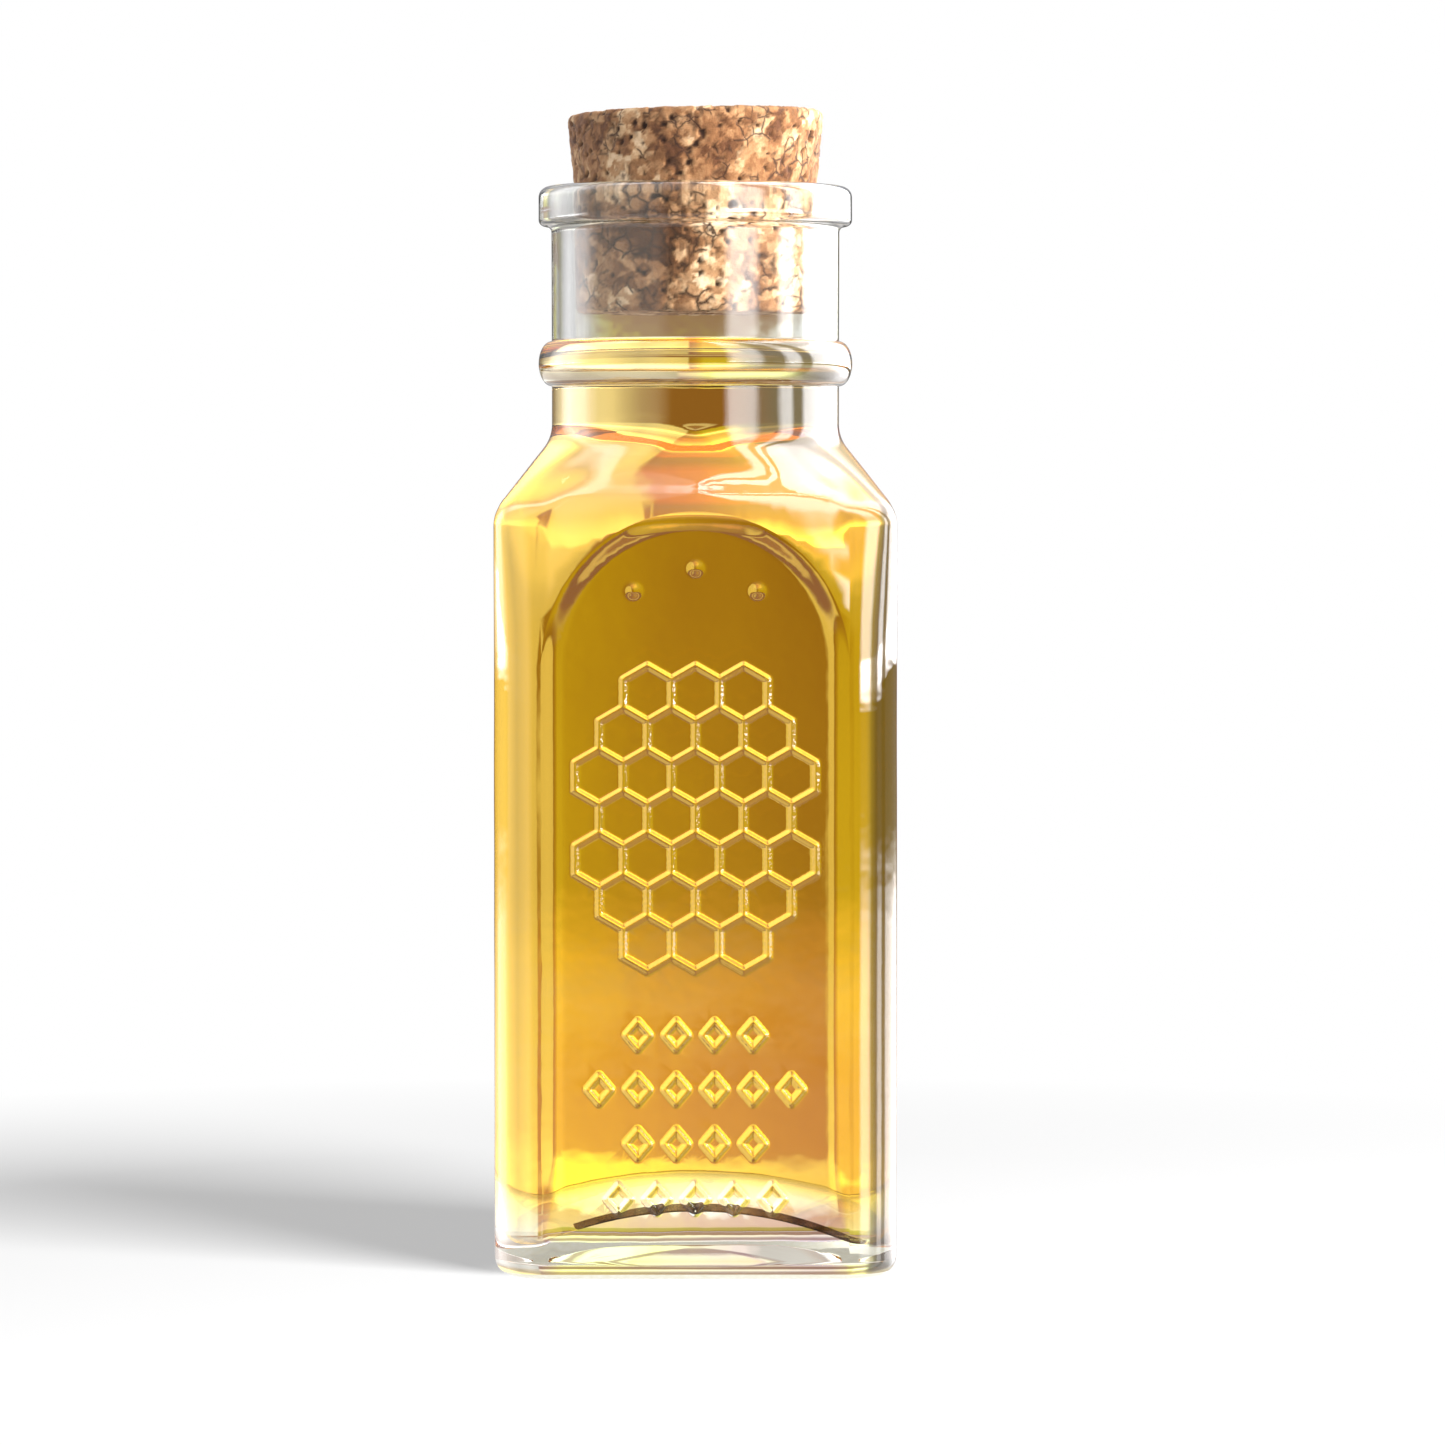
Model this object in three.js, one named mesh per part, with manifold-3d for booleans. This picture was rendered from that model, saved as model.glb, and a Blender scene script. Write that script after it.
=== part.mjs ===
// A square glass honey bottle with a round neck, its honey and its tapered cork stopper.
// Millimetres, +Z up. The origin is the middle of the base, and the front panel faces -Y.

import * as THREE from "three";
import { mergeVertices } from "three/addons/utils/BufferGeometryUtils.js";
import Module from "manifold-3d";

const wasm = await Module();
wasm.setup();

// Body: a square with rounded corners
const bodyWidth = 37.1;
const bodyCorner = 4.4;
const bodyRise = 69.1; // from the table to where the shoulder starts
const bodyWall = 2;
const heelRadius = 1.8;
const standWidth = 4.8; // from the outside to the hollow under the base
const pushUpRise = 1.6;

// Inside floor: domed, and lowest in the corners
const floorCrown = 8.5;
const floorEdgeFall = 2.8;
const floorCornerFall = 1.3;
const floorFillet = 1.6;

// Shoulder: from the square body up to the round neck
const shoulderRise = 9.5;
const shoulderRound = 4.2;
const neckFillet = 3.8;

// Cork: it sets the mouth of the neck, and below the lip it is squeezed to the bore
const corkTopRadius = 12;
const corkTaper = 0.086; // radius lost for each millimetre down to the lip
const corkProud = 6.95; // above the lip
const corkDepth = 12; // inside the neck
const corkChamfer = 0.5;
const corkGap = 0.15;

// Neck
const neckWall = 1.98;
const boreDraft = 0.4; // radius lost from the mouth to the shoulder
const beadHeight = 5.7; // middle of the bead ring above the shoulder
const beadHalfHeight = 2.1;
const beadProud = 1.25;
const neckRise = 18.6; // from the shoulder to the lip
const lipHeight = 3.7;
const lipProud = 1.2;
const lipRound = 1;
const mouthRound = 0.6;

// Honey
const honeyOverBead = 0.45; // how far the honey stands above the middle of the bead ring
const honeyGap = 0.25;

// Sunk panel with an arched top, in the front
const panelDepth = 0.3;
const panelBevel = 1.9;
const panelMargin = 0.15; // flat strip between the panel and the rounded corner
const panelFoot = 3.2;
const archOverShoulder = 1.4; // top of the arch above the start of the shoulder
const fallSlope = 0.3; // how steeply the front falls back outside the arch
const fallSoft = 0.6; // distance over which that fall sets in

// Relief on the front panel: a patch of honeycomb, dots over it and rows of lozenges under it
const reliefProud = 0.15;
const reliefRoot = 0.3; // how deep a ridge is rooted in the glass
const ridgeWidth = 0.85;
const combRows = [3, 4, 5, 4, 5, 4, 3];
const combSpare = 0.5; // width left over beside the widest row, in cells
const combDrop = 3.185; // middle of the patch below the middle of the arch, in cells
const dotRadius = 0.55;
const dotReach = 2; // arc of dots about the middle of the arch, in cells
const dotTilts = [-40, 0, 40];
const lozengeRows = [5, 4, 6, 4]; // from the lowest row up, and again as far as there is room
const lozengeMargin = 1.55; // beside the widest row
const lozengeGap = 0.5;
const lozengeHeight = 3.4;
const lozengeRowStep = 5;
const lozengeFoot = 4.4; // lowest row above the foot of the panel
const lozengeDrop = 4.217; // room for rows ends this far below the middle of the patch, in cells

// Facets
const flatSteps = 8;
const cornerSteps = 6;
const heelSteps = 3;
const fallSteps = 4;
const shoulderSteps = 4;
const slopeSteps = 4;
const beadSteps = 8;
const roundSteps = 3;
const corkSides = 48;
const archSteps = 24;
const dotSides = 10;

// Heights and half-widths that follow from these
const bodyHalf = bodyWidth / 2;
const pushUpHalf = bodyHalf - standWidth;
const innerHalf = bodyHalf - bodyWall;
const innerCorner = bodyCorner - bodyWall;
const neckFoot = bodyRise + shoulderRise;
const lipFoot = neckFoot + neckRise;
const lipTop = lipFoot + lipHeight;
const mouthRadius = corkTopRadius - corkTaper * corkProud + corkGap;
const boreRadius = mouthRadius - boreDraft;
const neckRadius = mouthRadius + neckWall;
const honeyLevel = neckFoot + beadHeight + honeyOverBead;
const panelHalf = bodyHalf - bodyCorner - panelMargin;
const archMiddle = bodyRise + archOverShoulder - panelHalf;
const panelFloor = bodyHalf - panelDepth;
const panelFlatHalf = panelHalf - panelBevel;
const cellPitch = (2 * panelFlatHalf) / (Math.max(...combRows) + combSpare);
const combMiddle = archMiddle - combDrop * cellPitch;
const dotRing = dotReach * cellPitch;
const lozengePitch = (2 * (panelFlatHalf - lozengeMargin)) / Math.max(...lozengeRows);
const lozengeWidth = lozengePitch - lozengeGap;
const lozengeLow = panelFoot + lozengeFoot;
const lozengeRoom = combMiddle - lozengeDrop * cellPitch - lozengeLow;
const lozengeRowCount = Math.floor(lozengeRoom / lozengeRowStep) + 1;

const degrees = Math.PI / 180;

// Directions of the points of a ring: even along the flats and close together round the corners
function ringAngles() {
  const flatEnd = Math.atan((bodyHalf - bodyCorner) / bodyHalf);
  const cornerSpan = Math.PI / 2 - 2 * flatEnd;
  const angles = [];
  for (let quarter = 0; quarter < 4; quarter += 1) {
    const middle = (quarter * Math.PI) / 2;
    for (let i = 0; i < flatSteps; i += 1) {
      angles.push(middle - flatEnd + (2 * flatEnd * i) / flatSteps);
    }
    for (let i = 0; i < cornerSteps; i += 1) {
      angles.push(middle + flatEnd + (cornerSpan * i) / cornerSteps);
    }
  }
  return angles;
}

// Distance from the axis to the edge of a rounded square; a corner as large as the half is a circle
function edgeDistance(half, corner, angle) {
  const quarter = Math.PI / 2;
  const inQuarter = ((angle % quarter) + quarter) % quarter;
  const off = Math.min(inQuarter, quarter - inQuarter);
  const core = half - corner;
  if (half * Math.tan(off) <= core) {
    return half / Math.cos(off);
  }
  const reach = corner ** 2 - core ** 2 * (1 - Math.sin(2 * off));
  return core * (Math.cos(off) + Math.sin(off)) + Math.sqrt(reach);
}

// A station is one level of a lofted form; its height is a number or a function of x and y
const squareAt = (half, corner, height) => ({ half, corner, height });
const roundAt = (radius, height) => ({ half: radius, corner: radius, height });

// Nought to one with a soft start and end
function eased(share) {
  const held = Math.min(Math.max(share, 0), 1);
  return held ** 2 * (3 - 2 * held);
}

// How far the front is drawn back round the arch, which is left standing as a flat facet
function frontFall(x, y, height) {
  const across = Math.abs(x);
  const overArch = Math.max(height - archMiddle, 0);
  const outside = Math.max(Math.hypot(Math.min(across, panelHalf), overArch) - panelHalf, 0);
  const facing = eased((1 - (y + across) / bodyCorner) / 2);
  const fadeFoot = bodyRise + shoulderRound;
  const fading = 1 - eased((height - fadeFoot) / (neckFoot - fadeFoot));
  return ((fallSlope * outside ** 2) / (outside + fallSoft)) * facing * fading;
}

// A closed form through the stations, shut at both ends by a fan to a point on the axis
function loft(startHeight, stations, endHeight) {
  const angles = ringAngles();
  const count = angles.length;
  const points = [0, 0, startHeight];
  for (const { half, corner, height } of stations) {
    for (const angle of angles) {
      const distance = edgeDistance(half, corner, angle);
      const x = distance * Math.cos(angle);
      const y = distance * Math.sin(angle);
      const z = typeof height === "function" ? height(x, y) : height;
      points.push(x, y + frontFall(x, y, z), z);
    }
  }
  points.push(0, 0, endHeight);

  // Four-sided faces are cut along the shorter diagonal, so that forms one inside the other match
  const pointAt = (i) => new THREE.Vector3().fromArray(points, 3 * i);
  const apart = (i, j) => pointAt(i).distanceTo(pointAt(j));
  const halves = (a, b, c, d) => (apart(a, c) < apart(b, d) ? [a, b, c, a, c, d] : [a, b, d, b, c, d]);

  const lastPoint = points.length / 3 - 1;
  const at = (ring, i) => 1 + ring * count + (i % count);
  const faces = [];
  for (let i = 0; i < count; i += 1) {
    faces.push(0, at(0, i + 1), at(0, i));
    for (let ring = 0; ring + 1 < stations.length; ring += 1) {
      faces.push(...halves(at(ring, i), at(ring, i + 1), at(ring + 1, i + 1), at(ring + 1, i)));
    }
    faces.push(lastPoint, at(stations.length - 1, i), at(stations.length - 1, i + 1));
  }

  const geometry = new THREE.BufferGeometry();
  geometry.setAttribute("position", new THREE.Float32BufferAttribute(points, 3));
  geometry.setIndex(faces);
  return geometry;
}

// Points [radius, height] on an arc; angles in degrees from straight out
function arc(radius, height, size, from, to, steps) {
  const points = [];
  for (let i = 0; i <= steps; i += 1) {
    const angle = (from + ((to - from) * i) / steps) * degrees;
    points.push([radius + size * Math.cos(angle), height + size * Math.sin(angle)]);
  }
  return points;
}

// Points between two points, without the two themselves
function between([radiusA, heightA], [radiusB, heightB], steps) {
  const points = [];
  for (let i = 1; i < steps; i += 1) {
    const share = i / steps;
    points.push([radiusA + (radiusB - radiusA) * share, heightA + (heightB - heightA) * share]);
  }
  return points;
}

// Shoulder line: rounded out of the body, straight, then filleted into the neck
function shoulderLine(wide, wideRound, narrow, narrowFillet) {
  const across = narrow + narrowFillet - (wide - wideRound);
  const span = Math.hypot(across, shoulderRise);
  const lean = Math.atan2(shoulderRise, across) - Math.acos((wideRound + narrowFillet) / span);
  const turn = lean / degrees;
  const outward = arc(wide - wideRound, bodyRise, wideRound, 0, turn, shoulderSteps);
  const inward = arc(narrow + narrowFillet, neckFoot, narrowFillet, 180 + turn, 180, shoulderSteps);
  return [...outward, ...between(outward.at(-1), inward[0], slopeSteps), ...inward];
}

// Stations along a shoulder line, whose corners grow until the square is a circle
function shoulderStations(line, wideCorner) {
  const wide = line[0][0];
  const narrow = line.at(-1)[0];
  return line.map(([half, height]) => {
    const share = (wide - half) / (wide - narrow);
    return squareAt(half, wideCorner + (narrow - wideCorner) * share, height);
  });
}

// Levels of a straight wall from the middle of the arch up, where the front falls back
function wallStations(half, corner) {
  const step = (bodyRise - archMiddle) / fallSteps;
  return Array.from({ length: fallSteps }, (_, i) => squareAt(half, corner, archMiddle + i * step));
}

function floorHeight(x, y) {
  const edge = (x ** 2 + y ** 2) / innerHalf ** 2;
  const corner = (x * y) / innerHalf ** 2;
  return floorCrown - floorEdgeFall * edge - floorCornerFall * corner ** 2;
}

// The hollow from the floor to the foot of the neck, drawn in all round by a gap
function hollowStations(gap) {
  const half = innerHalf - gap;
  const corner = innerCorner - gap;
  const over = (rise) => (x, y) => floorHeight(x, y) + gap + rise;
  const flat = half - floorFillet;
  const floorHalves = [flat / 3, (2 * flat) / 3, flat];
  const floor = floorHalves.map((size) => squareAt(size, (corner * size) / half, over(0)));
  const fillet = arc(half - floorFillet, floorFillet, floorFillet, -60, 0, 2).map(
    ([size, rise]) => squareAt(size, (corner * size) / half, over(rise)),
  );
  const line = shoulderLine(half, shoulderRound - bodyWall, boreRadius - gap, neckFillet + neckWall);
  return [...floor, ...fillet, ...wallStations(half, corner), ...shoulderStations(line, corner)];
}

function undersideStations() {
  const scaled = (half, height) => squareAt(half, (bodyCorner * half) / bodyHalf, height);
  const dome = [1 / 3, 2 / 3, 1].map((share) =>
    scaled(share * pushUpHalf, pushUpRise * (1 - share ** 2)),
  );
  const heel = arc(bodyHalf - heelRadius, heelRadius, heelRadius, -90, 0, heelSteps);
  return [...dome, ...heel.map(([half, height]) => scaled(half, height))];
}

function neckStations() {
  const bead = [];
  for (let i = 0; i <= beadSteps; i += 1) {
    const angle = (180 * i) / beadSteps - 90;
    const radius = neckRadius + beadProud * Math.cos(angle * degrees);
    bead.push([radius, neckFoot + beadHeight + beadHalfHeight * Math.sin(angle * degrees)]);
  }
  const lipRadius = neckRadius + lipProud;
  const under = lipProud / 2;
  const lip = [
    ...arc(neckRadius + under, lipFoot - under, under, 180, 90, roundSteps),
    ...arc(lipRadius - under, lipFoot + under, under, -90, 0, roundSteps).slice(1),
    ...arc(lipRadius - lipRound, lipTop - lipRound, lipRound, 0, 90, roundSteps),
    ...arc(mouthRadius + mouthRound, lipTop - mouthRound, mouthRound, 90, 180, roundSteps),
  ];
  return [...bead, ...lip].map(([radius, height]) => roundAt(radius, height));
}

function bottleForm() {
  const line = shoulderLine(bodyHalf, shoulderRound, neckRadius, neckFillet);
  const outside = [
    ...undersideStations(),
    ...wallStations(bodyHalf, bodyCorner),
    ...shoulderStations(line, bodyCorner),
    ...neckStations(),
  ];
  return loft(pushUpRise, [...outside, ...hollowStations(0).reverse()], floorCrown);
}

// Joining and cutting of closed forms
function solidOf(geometry) {
  const bare = geometry.clone();
  bare.deleteAttribute("normal");
  bare.deleteAttribute("uv");
  const merged = mergeVertices(bare);
  return new wasm.Manifold(
    new wasm.Mesh({
      numProp: 3,
      vertProperties: new Float32Array(merged.attributes.position.array),
      triVerts: new Uint32Array(merged.index.array),
    }),
  );
}

function geometryOf(solid) {
  const { vertProperties, triVerts } = solid.getMesh();
  const geometry = new THREE.BufferGeometry();
  geometry.setAttribute("position", new THREE.BufferAttribute(vertProperties, 3));
  geometry.setIndex(new THREE.BufferAttribute(triVerts, 1));
  geometry.computeVertexNormals();
  return geometry;
}

// Stands a form drawn in x and height up in front, with its own z as the distance before the axis
const standInFront = (geometry) => geometry.rotateX(Math.PI / 2);

// Cutter for the panel: the arch at the panel's floor, opening out over its bevel
function panelCutter() {
  const foot = panelFoot + panelBevel;
  const arch = new THREE.Shape();
  arch.moveTo(-panelFlatHalf, foot);
  arch.lineTo(panelFlatHalf, foot);
  arch.lineTo(panelFlatHalf, archMiddle);
  arch.absarc(0, archMiddle, panelFlatHalf, 0, Math.PI, false);
  arch.closePath();
  const cutter = new THREE.ExtrudeGeometry(arch, {
    depth: panelDepth,
    curveSegments: archSteps,
    bevelThickness: panelDepth,
    bevelSize: panelBevel,
    bevelSegments: 1,
  });
  return standInFront(cutter.translate(0, 0, bodyHalf));
}

// A ridge of the relief: a flat outline raised from the panel's floor
function ridge(outline) {
  const form = new THREE.ExtrudeGeometry(outline, {
    depth: reliefRoot + reliefProud,
    curveSegments: dotSides,
    bevelEnabled: false,
  });
  return standInFront(form.translate(0, 0, panelFloor - reliefRoot));
}

function polygon(points, Kind = THREE.Shape) {
  return new Kind(points.map(([x, height]) => new THREE.Vector2(x, height)));
}

// A frame with the same number of corners outside and inside
function framed(outer, inner) {
  const shape = polygon(outer);
  shape.holes.push(polygon(inner, THREE.Path));
  return shape;
}

function hexagon(x, height, acrossFlats) {
  const size = acrossFlats / Math.sqrt(3);
  return [30, 90, 150, 210, 270, 330].map((turn) => [
    x + size * Math.cos(turn * degrees),
    height + size * Math.sin(turn * degrees),
  ]);
}

function lozenge(x, height, trim) {
  const wide = lozengeWidth / 2 - trim;
  const tall = lozengeHeight / 2 - trim;
  return [
    [x + wide, height],
    [x, height + tall],
    [x - wide, height],
    [x, height - tall],
  ];
}

// Places in one row, evenly about the middle
const rowPlaces = (count, pitch) => Array.from({ length: count }, (_, i) => (i - (count - 1) / 2) * pitch);

function combOutlines() {
  const rowStep = (cellPitch * Math.sqrt(3)) / 2;
  return combRows.flatMap((count, row) => {
    const height = combMiddle + ((combRows.length - 1) / 2 - row) * rowStep;
    return rowPlaces(count, cellPitch).map((x) =>
      framed(hexagon(x, height, cellPitch + ridgeWidth), hexagon(x, height, cellPitch - ridgeWidth)),
    );
  });
}

function lozengeOutlines() {
  const outlines = [];
  for (let row = 0; row < lozengeRowCount; row += 1) {
    const height = lozengeLow + row * lozengeRowStep;
    for (const x of rowPlaces(lozengeRows[row % lozengeRows.length], lozengePitch)) {
      outlines.push(framed(lozenge(x, height, 0), lozenge(x, height, ridgeWidth)));
    }
  }
  return outlines;
}

function dotOutlines() {
  return dotTilts.map((tilt) => {
    const dot = new THREE.Shape();
    const x = dotRing * Math.sin(tilt * degrees);
    const height = archMiddle + dotRing * Math.cos(tilt * degrees);
    dot.absarc(x, height, dotRadius, 0, 2 * Math.PI, false);
    return dot;
  });
}

function jarGeometry() {
  let glass = solidOf(bottleForm()).subtract(solidOf(panelCutter()));
  for (const outline of [...combOutlines(), ...lozengeOutlines(), ...dotOutlines()]) {
    glass = glass.add(solidOf(ridge(outline)));
  }
  return geometryOf(glass);
}

function honeyGeometry() {
  const surface = roundAt(boreRadius - honeyGap, honeyLevel);
  return loft(floorCrown + honeyGap, [...hollowStations(honeyGap), surface], honeyLevel);
}

function corkGeometry() {
  const foot = lipTop - corkDepth;
  const top = lipTop + corkProud;
  const lipRadius = mouthRadius - corkGap;
  const footRadius = lipRadius - (boreDraft * corkDepth) / (lipTop - neckFoot);
  const profile = [
    [0, foot],
    [footRadius - corkChamfer, foot],
    [footRadius, foot + corkChamfer],
    [lipRadius, lipTop],
    [corkTopRadius, top - corkChamfer],
    [corkTopRadius - corkChamfer, top],
    [0, top],
  ];
  const points = profile.map(([radius, height]) => new THREE.Vector2(radius, height));
  return new THREE.LatheGeometry(points, corkSides).rotateX(Math.PI / 2);
}

function piece(name, geometry, look) {
  const mesh = new THREE.Mesh(geometry, new THREE.MeshStandardMaterial(look));
  mesh.name = name;
  return mesh;
}

const group = new THREE.Group();
group.add(piece("glass_jar", jarGeometry(), { color: "#eef2e6", roughness: 0.05, metalness: 0 }));
group.add(piece("honey", honeyGeometry(), { color: "#d98e1c", roughness: 0.1, metalness: 0 }));
group.add(piece("cork_stopper", corkGeometry(), { color: "#b98a58", roughness: 0.9, metalness: 0 }));

export default group;
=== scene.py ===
import math

import bpy
import numpy as np
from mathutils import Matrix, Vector, noise
from mathutils.geometry import delaunay_2d_cdt


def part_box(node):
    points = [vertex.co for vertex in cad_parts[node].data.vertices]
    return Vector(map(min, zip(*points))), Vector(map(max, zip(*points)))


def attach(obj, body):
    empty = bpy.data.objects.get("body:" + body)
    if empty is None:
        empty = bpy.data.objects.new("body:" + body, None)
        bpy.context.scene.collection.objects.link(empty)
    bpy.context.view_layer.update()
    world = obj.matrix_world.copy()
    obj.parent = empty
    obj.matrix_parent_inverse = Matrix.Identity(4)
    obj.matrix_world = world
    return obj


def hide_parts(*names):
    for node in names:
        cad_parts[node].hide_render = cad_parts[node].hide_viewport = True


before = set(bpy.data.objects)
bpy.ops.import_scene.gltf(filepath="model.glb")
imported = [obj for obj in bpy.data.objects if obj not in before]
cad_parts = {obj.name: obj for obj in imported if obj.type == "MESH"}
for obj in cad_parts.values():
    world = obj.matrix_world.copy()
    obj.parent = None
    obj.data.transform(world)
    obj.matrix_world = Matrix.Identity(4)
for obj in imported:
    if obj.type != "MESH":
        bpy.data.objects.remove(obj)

noise.seed_set(5)

MM = 0.001
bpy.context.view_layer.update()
jar_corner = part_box("glass_jar")[1] / MM
honey_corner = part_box("honey")[1] / MM
cork_low, cork_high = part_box("cork_stopper")

# All sizes below are in millimetres. Body: a square with rounded corners
BODY_HALF = jar_corner.x
BODY_CORNER = 4.4
BODY_RISE = 69.1
BODY_WALL = 2
HEEL = 1.8
STAND_WIDTH = 4.8
PUSH_UP_RISE = 1.6
UNEVEN = 0.035  # how far the moulded glass wanders from its form
UNEVEN_SPAN = 9

# Inside floor: domed, and lowest in the corners
FLOOR_CROWN = 8.5
FLOOR_EDGE_FALL = 2.8
FLOOR_CORNER_FALL = 1.3
FLOOR_FILLET = 1.6

# Shoulder and neck
SHOULDER_RISE = 9.5
SHOULDER_ROUND = 4.2
NECK_FILLET = 3.8
NECK_WALL = 1.98
BORE_DRAFT = 0.4
BEAD_HEIGHT = 5.7
BEAD_HALF_HEIGHT = 2.1
BEAD_PROUD = 1.25
BEAD_GUARD = 0.15  # straight neck kept beside the bead
NECK_RISE = 18.6
LIP_PROUD = 1.2
LIP_ROUND = 1
MOUTH_ROUND = 0.6

# Cork
CORK_RADIUS = cork_high.x / MM
CORK_FOOT = cork_low.z / MM
CORK_TOP = cork_high.z / MM
CORK_TAPER = 0.086
CORK_GAP = 0.15
CORK_EDGE = 0.6
CORK_SLANT = 0.022  # rise of the cut top to the right
GRAIN = 2.1  # size of a granule
FINE_GRAIN = 0.9
GRANULE_KEY = 91.7  # turns the middle of a granule or a crumb into a number of its own
CRUMB_KEY = 57.3
WANDER = 0.8  # how far the seams wander, and over what length
WANDER_SPAN = 2.1
FINE_WANDER = 0.25
FINE_WANDER_SPAN = 0.6
SEAM = 0.1  # width of the seams between granules, in granules
CRACK_SHARE = 0.5  # strength of the seams between crumbs
DARK_PLACES = [((-4.2, -10.3, 95.6), 3.0), ((-2.4, -11.4, 104.4), 1.7)]  # dark places: middle and size
PAINTED_LIGHT_TOP = 94.5  # below this, where it sits in the neck, the cork is painted paler: painted light
PATCH_SPAN = 6.5
PATCH_SHIFT = Vector((3, 1, 4))
BREAK_SPAN = 1.7  # length over which a seam comes and goes
BREAK_SHIFT = Vector((2, 8, 6))
BREAK_GAIN = 3
BREAK_LEVEL = 0.45
PIT_SPAN = 0.75
PIT_SHIFT = Vector((7, 3, 5))
PIT_START = 0.4
PIT_GAIN = 6
ROUGH_SPAN = 0.8
ROUGH_OCTAVES = 3

# What each of these adds to the cork's tone, and how deep it lies
MIDDLE_TONE = 0.5
GRANULE_TONE = 0.6
CRUMB_TONE = 0.5
PATCH_TONE = 0.35
DARK_PLACE_TONE = 0.6
# painted light: how much paler the cork is made in the neck
PAINTED_LIGHT_TONE = 0.12
SEAM_DARK = 0.85
GRANULE_DEPTH = 0.05
SEAM_DEPTH = 0.14
CRACK_DEPTH = 0.05
PIT_DEPTH = 0.3
ROUGH_DEPTH = 0.08

# Honey
HONEY_LEVEL = honey_corner.z
HONEY_GAP = 0.02
MENISCUS = 1.2  # film that the honey leaves on the bore above its level
MENISCUS_REACH = 1.2

# Sunk front panel and its relief
PANEL_DEPTH = 0.16
PANEL_BEVEL = 1.9
PANEL_MARGIN = 0.15
PANEL_FOOT = 3.2
PANEL_FOOT_ROUND = 3
PANEL_RUN_OUT = 9  # height over which the panel runs out above its foot
ARCH_OVER_SHOULDER = 1.4
EASE_SLOPE = 0.3  # how steeply the front falls back outside the arch
EASE_SOFT = 0.6  # distance over which that fall sets in
RELIEF_PROUD = 0.11
RIDGE_WIDTH = 0.85
RIDGE_REACH = 0.45  # from the crest of a ridge to its foot
COMB_ROWS = [3, 4, 5, 4, 5, 4, 3]
COMB_SPARE = 0.5
COMB_DROP = 3.185
DOT_RADIUS = 0.95
DOT_REACH = 2
DOT_TILTS = [-40, 0, 40]
LOZENGE_ROWS = [5, 4, 6, 4]
LOZENGE_MARGIN = 1.55
LOZENGE_GAP = 0.5
LOZENGE_HEIGHT = 3.4
LOZENGE_ROW_STEP = 5
LOZENGE_FOOT = 4.4

FRONT = 3  # quarter turns from +X to the front

# Slots of the jar's materials: clear, wet, the floor's edge in painted shade, and the stand ring in
# painted light
CLEAR, WET, PAINTED_SHADE_EDGE, STIPPLED_PAINTED_LIGHT = range(4)

# Fineness of the meshes
FLAT_STEPS = 24
CORNER_STEPS = 14
ROUND_STEPS = 8
BEAD_STEPS = 24
WALL_STEPS = 16
FLOOR_STEPS = 12
STAND_ROWS = range(FLOOR_STEPS - 1, FLOOR_STEPS + ROUND_STEPS // 2)  # rows of the stippled stand ring, painted pale as the table's light seen through the base
PAINTED_SHADE_ROWS = range(1, 8)  # steps down the fillet of the inside floor that are painted dark in front, as painted shade
PAINTED_SHADE_TURN = 6  # columns by which the painted shade of the floor's edge runs on round the right corner
SURFACE_STEPS = 24
SURFACE_CROWDING = 1.6  # crowds the rings of the honey's surface to its edge
CORK_SIDES = 380
CORK_STEP = 0.19
CORK_EDGE_STEPS = 4
ARCH_POINTS = 60
ARCH_FOOT_POINTS = 9
ARCH_STEP = 0.45
BEVEL_LINES = 9
BEVEL_MARGIN = 0.3
RIDGE_STEP = 0.22
RIDGE_LINES = [0, 0.2, 0.4, 0.6, 0.8, 1, 1.25]  # lines beside a crest, in ridge reaches
RELIEF_MARGIN = 0.2
DOT_LINES = [0.01, 0.25, 0.5, 0.75, 1, 1.2]  # rings about a dot, in dot radii
DOT_TURN = 15
PLAIN_STEP = 1.6
PLAIN_EDGE = 1  # how far the plain points keep from the edges, the bevel and the ridges
PLAIN_OUTSIDE = 0.5
PLAIN_INSIDE = 0.6
PLAIN_RIDGES = 1.5  # in ridge reaches
POINT_GRID = 0.04  # points nearer than this on a panel are one
TOUCHING = 1e-3  # points and lines nearer than this are joined in the panel's triangles

# Colours, as (red, green, blue, 1), and what else the materials share
AMBER = (0.9325, 0.75, 0.0, 1)  # what a length of honey lets through
AMBER_DENSITY = 80.0
FREE_SURFACE = (0.4, 0.7)  # upward share of the normal at which the honey's surface is free and glossy
# painted shade: dark browns for the edge of the inside floor
PAINTED_SHADE_BROWNS = [(0.38, (0.012, 0.005, 0.002, 1)), (0.72, (0.1, 0.05, 0.02, 1))]
# painted light: the stand ring's pale colour stands in for the table seen through the base
PAINTED_LIGHT_WHITES = [(0.0, (0.98, 0.96, 0.84, 1)), (1.0, (0.9, 0.86, 0.68, 1))]
CORK_BROWNS = [
    (0.0, (0.08, 0.03, 0.011, 1)),
    (0.3, (0.2, 0.09, 0.036, 1)),
    (0.6, (0.35, 0.19, 0.09, 1)),
    (0.8, (0.5, 0.32, 0.175, 1)),
    (1.0, (0.66, 0.48, 0.31, 1)),
]
SEAM_COLOUR = (0.03, 0.012, 0.006, 1)
SPECKLE = 0.6  # how far the fine speckle moves the cork's tone
CRACK_WARP = 0.0008
CRACK_WIDTH = 0.1
CRACK_PLACES = (0.47, 0.56)
WHITE = (1, 1, 1, 1)
MIX_INPUTS = (0, 6, 7)  # sockets of a mix node for colours: factor, first and second
MIX_RESULT = 2

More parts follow.
